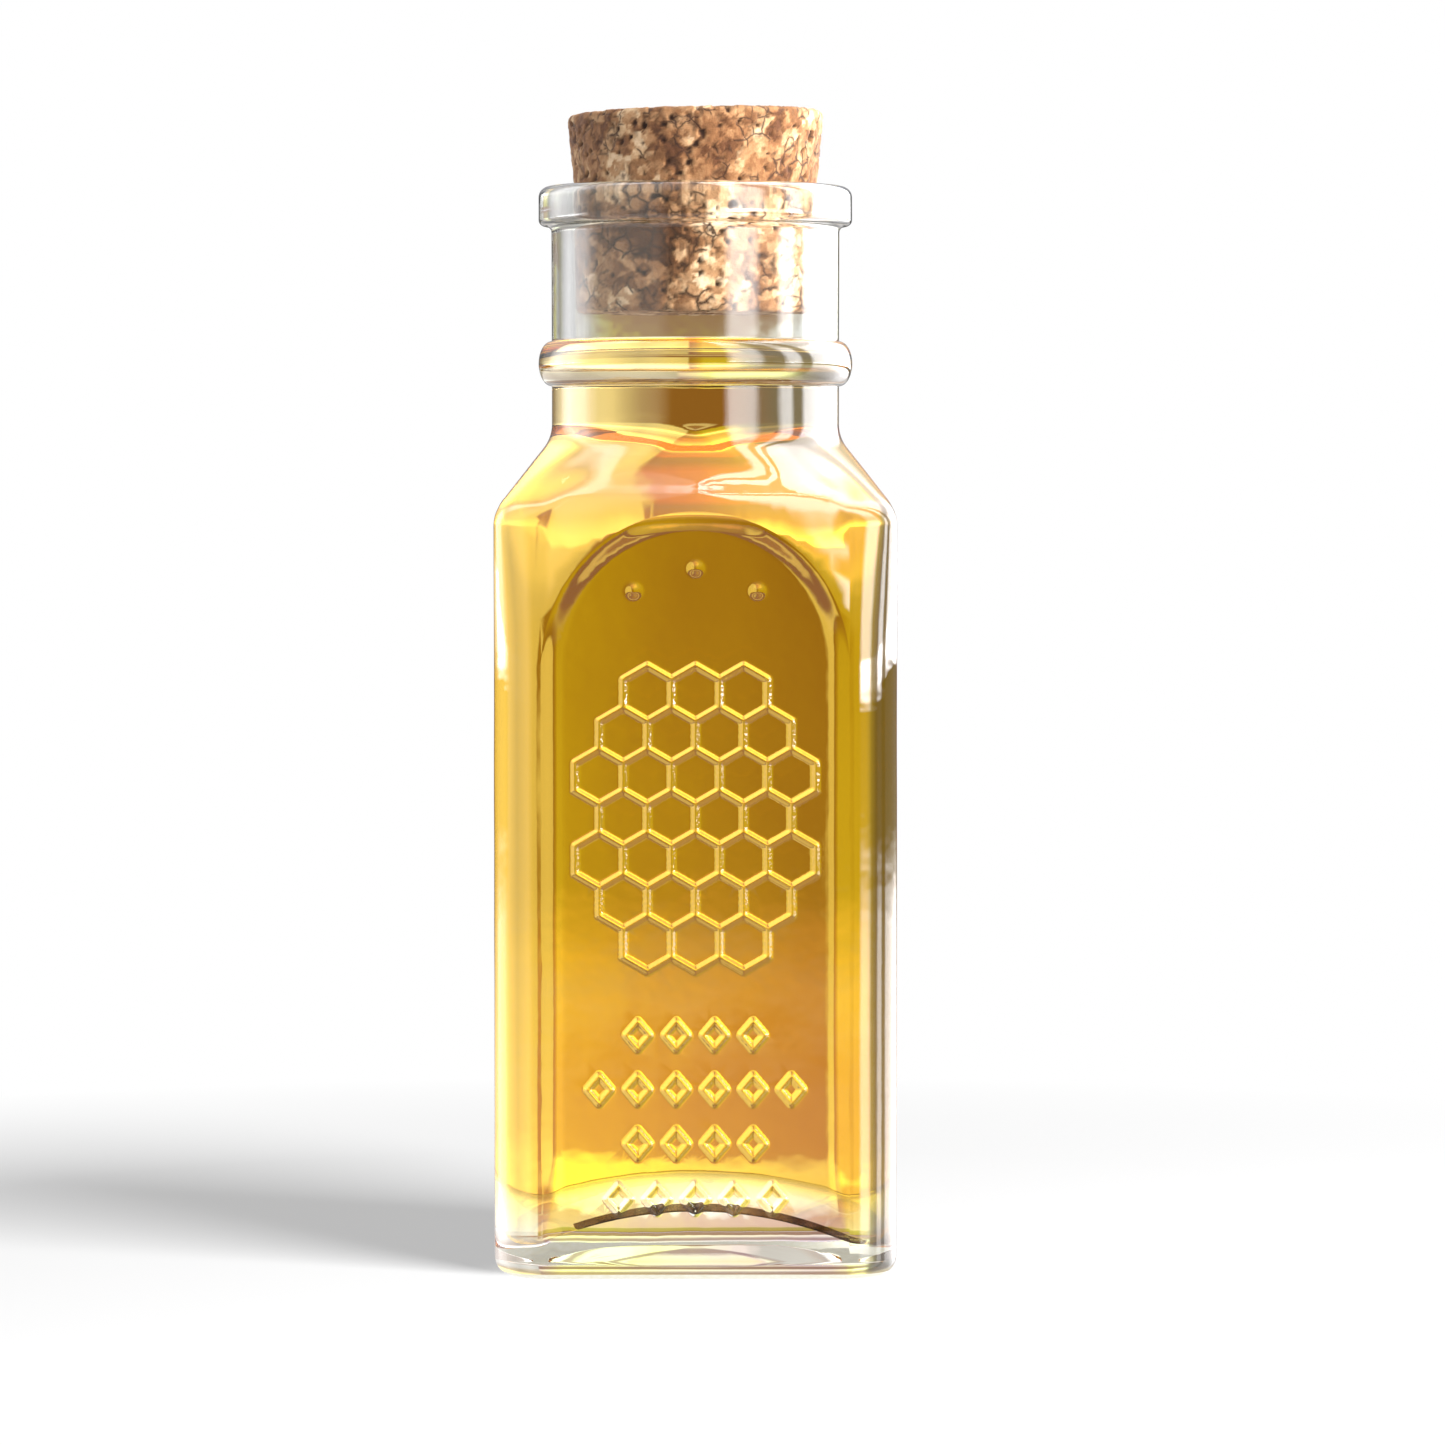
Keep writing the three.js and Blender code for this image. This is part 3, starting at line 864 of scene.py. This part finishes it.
def honey_mesh():
    """The honey: the hollow up to the contact line, and its surface with a meniscus."""
    angles = ring_angles()
    count = len(angles)
    neck = [(bore_radius(h) - HONEY_GAP, h) for h in np.linspace(NECK_FOOT, CONTACT, ROUND_STEPS)[1:]]
    edge = neck[-1][0]
    surface = []
    for radius in edge * (1 - np.linspace(0, 1, SURFACE_STEPS)[1:-1] ** SURFACE_CROWDING):
        climb = math.exp((radius - edge) / MENISCUS_REACH)
        surface.append((radius, HONEY_LEVEL + MENISCUS * climb))
    stations = [*hollow_stations(HONEY_GAP), *round_stations(neck), *round_stations(surface)]
    points = [(0, 0, FLOOR_CROWN + HONEY_GAP)]
    for station in stations:
        points += ring(station, angles).tolist()
    points.append((0, 0, HONEY_LEVEL))
    return points, loft_faces(len(stations), count)


def point_at(row, column, count):
    """Index of a point in rings of so many points that are stacked on one end point."""
    return 1 + row * count + column % count


def loft_quad(row, column, count):
    return [
        point_at(row, column, count),
        point_at(row, column + 1, count),
        point_at(row + 1, column + 1, count),
        point_at(row + 1, column, count),
    ]


def loft_faces(rows, count):
    """Faces of rings stacked between two end points."""
    faces = []
    last = 1 + rows * count
    for column in range(count):
        faces.append([0, point_at(0, column + 1, count), point_at(0, column, count)])
        faces += [loft_quad(row, column, count) for row in range(rows - 1)]
        faces.append([last, point_at(rows - 1, column, count), point_at(rows - 1, column + 1, count)])
    return faces


def cork_line():
    """The cork's outline from the middle of its foot to the middle of its top."""
    lip_radius = MOUTH_RADIUS - CORK_GAP
    foot_radius = lip_radius - BORE_DRAFT * (LIP_TOP - CORK_FOOT) / (LIP_TOP - NECK_FOOT)
    low = arc(foot_radius - CORK_EDGE, CORK_FOOT + CORK_EDGE, CORK_EDGE, -90, 0, CORK_EDGE_STEPS)
    high = arc(CORK_RADIUS - CORK_EDGE, CORK_TOP - CORK_EDGE, CORK_EDGE, 0, 90, CORK_EDGE_STEPS)
    foot_steps = round(foot_radius / CORK_STEP / 2)
    foot = between((0, CORK_FOOT), low[0], foot_steps)
    lip = (lip_radius, LIP_TOP)
    squeezed = between(low[-1], lip, round((LIP_TOP - CORK_FOOT) / CORK_STEP))
    proud = between(lip, high[0], round((CORK_TOP - LIP_TOP) / CORK_STEP))
    top = between(high[-1], (0, CORK_TOP), round(CORK_RADIUS / CORK_STEP))
    return [*foot, *low, *squeezed, lip, *proud, *high, *top]


def cork_grain(point):
    """How far a point of the cork lies back, its tone, with painted light that makes it paler in the
    neck, and how dark it is in seams and pits, the pits' dark partly painted shade.
    """
    bent = point + WANDER * noise.noise_vector(point / WANDER_SPAN)
    bent = bent + FINE_WANDER * noise.noise_vector(point / FINE_WANDER_SPAN)
    distances, middles = noise.voronoi(bent / GRAIN)
    fine_distances, fine_middles = noise.voronoi(bent / FINE_GRAIN)
    granule = 0.5 + 0.5 * noise.cell(middles[0] * GRANULE_KEY)
    crumb = 0.5 + 0.5 * noise.cell(fine_middles[0] * CRUMB_KEY)
    patch = noise.noise(point / PATCH_SPAN + PATCH_SHIFT)
    # darker in two places on the front left of the cork
    dark_place = sum(math.exp(-(((point - Vector(middle)).length / size) ** 2)) for middle, size in DARK_PLACES)
    # painted light: the cork is made paler low down, in the neck
    pale = 1 / (1 + math.exp(point.z - PAINTED_LIGHT_TOP))
    tone = MIDDLE_TONE + GRANULE_TONE * (granule - 0.5) + CRUMB_TONE * (crumb - 0.5)
    tone += PATCH_TONE * patch - DARK_PLACE_TONE * dark_place + PAINTED_LIGHT_TONE * pale
    broken = BREAK_GAIN * noise.noise(point / BREAK_SPAN + BREAK_SHIFT) + BREAK_LEVEL
    broken = min(1.0, max(0.0, broken))
    seam = broken * max(0.0, 1 - (distances[1] - distances[0]) / SEAM)
    crack = CRACK_SHARE * broken * max(0.0, 1 - (fine_distances[1] - fine_distances[0]) / SEAM)
    # pits: sunk into the cork and darkened, their dark partly the cork's own and partly painted shade
    pit = PIT_GAIN * (noise.noise(point / PIT_SPAN + PIT_SHIFT) - PIT_START)
    pit = max(0.0, min(1.0, pit))
    rough = noise.turbulence(point / ROUGH_SPAN, ROUGH_OCTAVES, False)
    depth = GRANULE_DEPTH * granule + SEAM_DEPTH * seam + CRACK_DEPTH * crack
    depth += PIT_DEPTH * pit + ROUGH_DEPTH * rough
    return depth, tone, max(SEAM_DARK * seam, crack, pit)


def cork_mesh():
    line = cork_line()
    angles = np.linspace(0, 2 * math.pi, CORK_SIDES, endpoint=False)
    steps = np.gradient(np.array(line), axis=0)
    points = []
    tones = []
    darks = []

    def add(place, outward):
        depth, tone, dark = cork_grain(place)
        points.append(tuple(place - depth * outward))
        tones.append(tone)
        darks.append(dark)

    add(Vector((0, 0, CORK_FOOT)), Vector((0, 0, -1)))
    for (radius, height), (rise_out, rise_up) in zip(line, steps):
        length = math.hypot(rise_out, rise_up)
        out = rise_up / length
        up = -rise_out / length
        for angle in angles:
            side = Vector((math.cos(angle), math.sin(angle), 0))
            proud = max(0, height - LIP_TOP) / (CORK_TOP - LIP_TOP)
            slant = CORK_SLANT * radius * math.cos(angle) * proud
            add(side * radius + Vector((0, 0, height + slant)), side * out + Vector((0, 0, up)))
    add(Vector((0, 0, CORK_TOP)), Vector((0, 0, 1)))
    return points, loft_faces(len(line), CORK_SIDES), tones, darks


def make_piece(name, points, faces, node, body, materials):
    """A smooth mesh that stands for a CAD node and rides on its body."""
    mesh = bpy.data.meshes.new(name)
    mesh.from_pydata((np.array(points) * MM).tolist(), [], faces)
    mesh.shade_smooth()
    for material in materials:
        mesh.materials.append(material)
    piece = bpy.data.objects.new(name, mesh)
    bpy.context.scene.collection.objects.link(piece)
    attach(piece, body)
    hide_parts(node)
    return piece


class Graph:
    """The node tree of a material or world, with short calls to add nodes and links."""

    def __init__(self, owner):
        owner.use_nodes = True
        self.tree = owner.node_tree
        self.tree.nodes.clear()

    def add(self, kind, settings=None, **inputs):
        node = self.tree.nodes.new(kind)
        for name, value in (settings or {}).items():
            setattr(node, name, value)
        for name, value in inputs.items():
            self.feed(value, node.inputs[name.replace("_", " ")])
        return node

    def link(self, source, target):
        self.tree.links.new(source, target)

    def feed(self, value, socket):
        """Links another node's output to a socket, or sets a plain value on it."""
        if isinstance(value, bpy.types.NodeSocket):
            self.link(value, socket)
        else:
            socket.default_value = value

    def end(self, surface):
        """Ends a material in a shader."""
        output = self.add("ShaderNodeOutputMaterial")
        self.link(surface, output.inputs["Surface"])
        return output


def new_material(name):
    material = bpy.data.materials.new(name)
    return material, Graph(material)


def computed(graph, operation, *values):
    node = graph.add("ShaderNodeMath", {"operation": operation})
    for socket, value in zip(node.inputs, values):
        graph.feed(value, socket)
    return node.outputs[0]


def mapped(graph, value, low, high, start=0.0, end=1.0):
    """Where a value lies from low to high, as a number from start to end."""
    node = graph.add("ShaderNodeMapRange", Value=value, From_Min=low, From_Max=high)
    node.inputs["To Min"].default_value = start
    node.inputs["To Max"].default_value = end
    return node.outputs["Result"]


def mixed(graph, how, factor, first, second):
    """Two colours mixed, added or multiplied."""
    mix = graph.add("ShaderNodeMix", {"data_type": "RGBA", "blend_type": how})
    for place, value in zip(MIX_INPUTS, (factor, first, second)):
        graph.feed(value, mix.inputs[place])
    return mix.outputs[MIX_RESULT]


def ramp_colour(graph, value, stops):
    """A ramp by a value from nought to one; the stops are (place, colour)."""
    ramp = graph.add("ShaderNodeValToRGB", Fac=value)
    elements = ramp.color_ramp.elements
    while len(elements) < len(stops):
        elements.new(0.5)
    for element, (place, colour) in zip(elements, stops):
        element.position = place
        element.color = colour
    return ramp.outputs["Color"]


def glass_material():
    """Clear moulded glass with faint ripples."""
    material, graph = new_material("clear_glass")
    place = graph.add("ShaderNodeTexCoord").outputs["Object"]
    ripple = graph.add("ShaderNodeTexNoise", Vector=place, Scale=260.0, Detail=2.0)
    bump = graph.add("ShaderNodeBump", Height=ripple.outputs["Fac"], Strength=0.04, Distance=0.0004)
    shader = graph.add(
        "ShaderNodeBsdfPrincipled",
        Base_Color=(0.99, 1.0, 0.99, 1),
        Roughness=0.0,
        IOR=1.5,
        Transmission_Weight=1.0,
        Normal=bump.outputs["Normal"],
    )
    graph.end(shader.outputs["BSDF"])
    return material


def wet_glass_material():
    """Where honey wets the glass the light goes straight on."""
    material, graph = new_material("wet_glass")
    shader = graph.add(
        "ShaderNodeBsdfPrincipled",
        Base_Color=WHITE,
        Roughness=0.0,
        IOR=1.0,
        Transmission_Weight=1.0,
    )
    graph.end(shader.outputs["BSDF"])
    return material


def painted_shade_edge_material():
    """The edge of the inside floor, tinted dark brown: painted shade where the light is lost in the thick
    glass.
    """
    material, graph = new_material("floor_edge_painted_shade")
    place = graph.add("ShaderNodeTexCoord").outputs["Object"]
    patches = graph.add("ShaderNodeTexNoise", Vector=place, Scale=420.0, Detail=2.0)
    shader = graph.add(
        "ShaderNodeBsdfPrincipled",
        Base_Color=ramp_colour(graph, patches.outputs["Fac"], PAINTED_SHADE_BROWNS),
        Roughness=0.0,
        IOR=1.0,
        Transmission_Weight=1.0,
    )
    graph.end(shader.outputs["BSDF"])
    return material


def painted_light_ring_material():
    """The stippled ring that the jar stands on, drawn opaque and pale: painted light of the table seen
    through the base.
    """
    material, graph = new_material("stand_ring_painted_light")
    place = graph.add("ShaderNodeTexCoord").outputs["Object"]
    stipple = graph.add("ShaderNodeTexVoronoi", Vector=place, Scale=1600.0)
    bump = graph.add("ShaderNodeBump", Height=stipple.outputs["Distance"], Strength=0.4, Distance=0.0001)
    shader = graph.add(
        "ShaderNodeBsdfPrincipled",
        Base_Color=ramp_colour(graph, stipple.outputs["Distance"], PAINTED_LIGHT_WHITES),
        Roughness=0.6,
        IOR=1.5,
        Normal=bump.outputs["Normal"],
    )
    graph.end(shader.outputs["BSDF"])
    return material


def honey_material():
    """Clear amber that deepens with the length of the light's way through it."""
    material, graph = new_material("honey")
    normal = graph.add("ShaderNodeNewGeometry").outputs["Normal"]
    upward = graph.add("ShaderNodeSeparateXYZ", Vector=normal).outputs["Z"]
    free = mapped(graph, upward, *FREE_SURFACE)
    shader = graph.add(
        "ShaderNodeBsdfPrincipled",
        Base_Color=WHITE,
        Roughness=0.0,
        IOR=1.0,
        Transmission_Weight=1.0,
        Coat_Weight=free,
        Coat_IOR=1.49,
    )
    amber = graph.add("ShaderNodeVolumeAbsorption", Color=AMBER, Density=AMBER_DENSITY)
    output = graph.end(shader.outputs["BSDF"])
    graph.link(amber.outputs["Volume"], output.inputs["Volume"])
    return material


def cork_material():
    """Pressed cork: granules of several browns, painted paler in the neck as painted light, dark seams
    and pits, the pits' dark partly painted shade, and a fine grain.
    """
    material, graph = new_material("cork")
    place = graph.add("ShaderNodeTexCoord").outputs["Object"]
    tone = graph.add("ShaderNodeAttribute", {"attribute_name": "tone"}).outputs["Fac"]
    dark = graph.add("ShaderNodeAttribute", {"attribute_name": "dark"}).outputs["Fac"]
    speckle = graph.add("ShaderNodeTexNoise", Vector=place, Scale=1400.0, Detail=4.0, Roughness=0.65)
    shifted = computed(graph, "SUBTRACT", tone, SPECKLE / 2)
    grainy = computed(graph, "MULTIPLY_ADD", speckle.outputs["Fac"], SPECKLE, shifted)
    browns = ramp_colour(graph, grainy, CORK_BROWNS)
    warp = graph.add("ShaderNodeTexNoise", Vector=place, Scale=900.0, Detail=2.0)
    bent = graph.add("ShaderNodeVectorMath", {"operation": "MULTIPLY_ADD"})
    graph.link(warp.outputs["Color"], bent.inputs[0])
    bent.inputs[1].default_value = (CRACK_WARP, CRACK_WARP, CRACK_WARP)
    graph.link(place, bent.inputs[2])
    cells = graph.add(
        "ShaderNodeTexVoronoi",
        {"feature": "DISTANCE_TO_EDGE"},
        Vector=bent.outputs[0],
        Scale=560.0,
    )
    line = mapped(graph, cells.outputs["Distance"], 0.0, CRACK_WIDTH, 1.0, 0.0)
    places = graph.add("ShaderNodeTexNoise", Vector=place, Scale=420.0, Detail=1.0)
    here = mapped(graph, places.outputs["Fac"], *CRACK_PLACES)
    darkest = computed(graph, "MAXIMUM", computed(graph, "MULTIPLY", line, here), dark)
    bump = graph.add("ShaderNodeBump", Height=speckle.outputs["Fac"], Strength=0.5, Distance=0.0003)
    shader = graph.add(
        "ShaderNodeBsdfPrincipled",
        Base_Color=mixed(graph, "MIX", darkest, browns, SEAM_COLOUR),
        Roughness=0.85,
        Normal=bump.outputs["Normal"],
    )
    graph.end(shader.outputs["BSDF"])
    return material


def build_jar():
    points, faces, slots = glass_mesh()
    looks = [glass_material(), wet_glass_material(), painted_shade_edge_material(), painted_light_ring_material()]
    jar = make_piece("jar", points, faces, "glass_jar", "jar", looks)
    jar.data.polygons.foreach_set("material_index", slots)
    jar.visible_diffuse = False
    jar.visible_shadow = False


def build_honey():
    points, faces = honey_mesh()
    honey = make_piece("honey_fill", points, faces, "honey", "jar", [honey_material()])
    honey.visible_diffuse = False


def build_cork():
    points, faces, tones, darks = cork_mesh()
    cork = make_piece("cork", points, faces, "cork_stopper", "cork", [cork_material()])
    for name, values in (("tone", tones), ("dark", darks)):
        attribute = cork.data.attributes.new(name, "FLOAT", "POINT")
        attribute.data.foreach_set("value", values)


def build_floor():
    """A pale floor that keeps the shadow and runs out to white for the camera."""
    bpy.ops.mesh.primitive_circle_add(vertices=FLOOR_SIDES, radius=FLOOR_RADIUS, fill_type="NGON")
    floor = bpy.context.object
    floor.name = "floor"
    floor.visible_glossy = False
    floor.visible_transmission = False
    material, graph = new_material("floor")
    place = graph.add("ShaderNodeTexCoord").outputs["Object"]
    reach = graph.add("ShaderNodeVectorMath", {"operation": "LENGTH"})
    graph.link(place, reach.inputs[0])
    fade = mapped(graph, reach.outputs["Value"], *FLOOR_FADE)
    seen = graph.add("ShaderNodeLightPath").outputs["Is Camera Ray"]
    share = computed(graph, "MULTIPLY", fade, seen)
    paper = graph.add("ShaderNodeBsdfDiffuse", Color=(0.85, 0.85, 0.85, 1))
    white = graph.add("ShaderNodeEmission", Color=WHITE, Strength=1.0)
    mix = graph.add("ShaderNodeMixShader", Fac=share)
    graph.link(paper.outputs["BSDF"], mix.inputs[1])
    graph.link(white.outputs["Emission"], mix.inputs[2])
    graph.end(mix.outputs["Shader"])
    floor.data.materials.append(material)


def colour_ramp(graph, angle, span, stops):
    """A ramp over a span of angles in degrees; the stops are (angle, red, green, blue)."""
    low, high = span
    share = mapped(graph, angle, math.radians(low), math.radians(high))
    return ramp_colour(graph, share, [((turn - low) / (high - low), (*rgb, 1)) for turn, *rgb in stops])


def build_world():
    """A white room to the camera. Through the glass it has a dim middle, a bright table and a light side,
    and reflections see windows to the left and the right over a table."""
    world = bpy.data.worlds.new("studio")
    bpy.context.scene.world = world
    graph = Graph(world)
    direction = graph.add("ShaderNodeTexCoord").outputs["Generated"]
    parts = graph.add("ShaderNodeSeparateXYZ", Vector=direction)
    elevation = computed(graph, "ARCSINE", parts.outputs["Z"])
    azimuth = computed(graph, "ARCTAN2", parts.outputs["X"], parts.outputs["Y"])

    level = colour_ramp(graph, elevation, LEVELS, BACKDROP_LEVELS)
    high = colour_ramp(graph, elevation, LEVELS, HIGH_LEVELS)
    tint = mixed(graph, "MIX", high, colour_ramp(graph, azimuth, ACROSS, BACKDROP_TINTS), WHITE)
    low_share = colour_ramp(graph, azimuth, ACROSS, BACKDROP_SHARES)
    high_share = colour_ramp(graph, azimuth, WIDE, HIGH_SHARES)
    share = mixed(graph, "MIX", high, low_share, high_share)
    backdrop = mixed(graph, "MULTIPLY", 1.0, level, tint)
    sides = colour_ramp(graph, azimuth, AROUND, ROOM_SIDES)
    room = mixed(graph, "MULTIPLY", 1.0, sides, colour_ramp(graph, elevation, LEVELS, ROOM_LEVELS))
    under = colour_ramp(graph, elevation, BELOW, UNDER_LEVELS)
    through = mixed(graph, "MULTIPLY", 1.0, mixed(graph, "MIX", share, room, backdrop), under)
    windows = colour_ramp(graph, azimuth, AROUND, WINDOW_SIDES)
    heights = colour_ramp(graph, elevation, WINDOW_RISE, WINDOW_HEIGHTS)
    window = mixed(graph, "MULTIPLY", 1.0, windows, heights)
    table = colour_ramp(graph, elevation, LEVELS, TABLE_LEVELS)
    glow = colour_ramp(graph, azimuth, AROUND, SIDE_GLOW)
    reflected = mixed(graph, "ADD", 1.0, mixed(graph, "ADD", 1.0, table, window), glow)

    path = graph.add("ShaderNodeLightPath")
    glossy = mixed(graph, "MIX", path.outputs["Is Glossy Ray"], DIFFUSE_LIGHT, reflected)
    clear = mixed(graph, "MIX", path.outputs["Is Transmission Ray"], glossy, through)
    seen = mixed(graph, "MIX", path.outputs["Is Camera Ray"], clear, WHITE)
    background = graph.add("ShaderNodeBackground", Color=seen, Strength=1.0)
    output = graph.add("ShaderNodeOutputWorld")
    graph.link(background.outputs["Background"], output.inputs["Surface"])


def place_lamp(lamp, place, aim):
    """Points a lamp at a place; it lights what is matt, and isn't seen or mirrored itself."""
    lamp.location = place
    lamp.rotation_euler = (Vector(aim) - Vector(place)).to_track_quat("-Z", "Y").to_euler()
    lamp.visible_camera = False
    lamp.visible_glossy = False
    lamp.visible_transmission = False
    bpy.context.scene.collection.objects.link(lamp)


def build_key():
    """The lamp that lights the scene and throws the shadow."""
    data = bpy.data.lights.new("key", "AREA")
    data.shape = "RECTANGLE"
    data.size = KEY_SIZE
    data.size_y = KEY_SIZE
    data.energy = KEY_POWER
    lamp = bpy.data.objects.new("key", data)
    place_lamp(lamp, KEY_PLACE, KEY_AIM)


def build_spot():
    """A narrow lamp on the cork alone."""
    data = bpy.data.lights.new("cork_light", "SPOT")
    data.energy = SPOT_POWER
    data.spot_size = math.radians(SPOT_CONE)
    data.spot_blend = SPOT_BLEND
    data.shadow_soft_size = SPOT_SIZE
    lamp = bpy.data.objects.new("cork_light", data)
    place_lamp(lamp, SPOT_PLACE, SPOT_AIM)


def build_camera():
    data = bpy.data.cameras.new("camera")
    data.lens = CAMERA_LENS
    camera = bpy.data.objects.new("camera", data)
    camera.location = CAMERA_PLACE
    camera.rotation_euler = (Vector(CAMERA_AIM) - camera.location).to_track_quat("-Z", "Y").to_euler()
    bpy.context.scene.collection.objects.link(camera)
    bpy.context.scene.camera = camera


build_jar()
build_honey()
build_cork()
build_floor()
build_world()
build_key()
build_spot()
build_camera()

scene = bpy.context.scene
scene.view_settings.view_transform = "Standard"
scene.cycles.max_bounces = BOUNCES
scene.cycles.transmission_bounces = BOUNCES
scene.cycles.use_denoising = True
